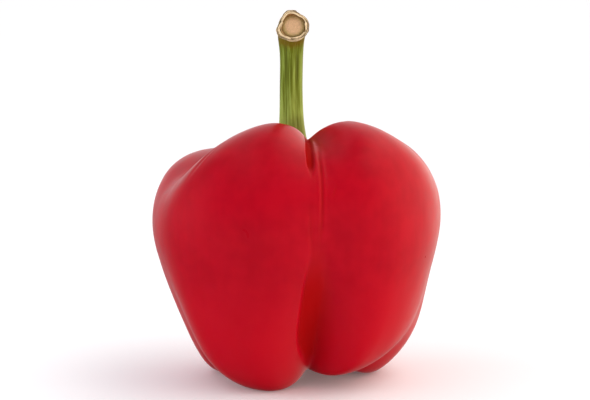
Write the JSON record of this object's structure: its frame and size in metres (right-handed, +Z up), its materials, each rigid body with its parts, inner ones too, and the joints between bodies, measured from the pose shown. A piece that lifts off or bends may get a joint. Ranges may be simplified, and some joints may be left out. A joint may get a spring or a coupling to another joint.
{
  "type": "bell pepper",
  "caption": "Whole red bell pepper with lobed shoulders, a green calyx in the hollow on top and a ribbed cut stem, standing on its lobes.",
  "frame": {"origin": "on the surface the pepper stands on, under the middle of its outline", "axes": "+Z up along the stem, -Y towards the side with the two tallest shoulders, which the cut end of the stem faces"},
  "size_m": [0.0911, 0.0846, 0.1179],
  "materials": {
    "skin": "satin waxy red skin",
    "calyx": "dull green leaf tissue",
    "stem": "ribbed green stalk with a dry tan cut end"
  },
  "bodies": {
    "root": {"fruit": "skin", "calyx": "calyx", "stem": "stem"}
  },
  "joints": []
}
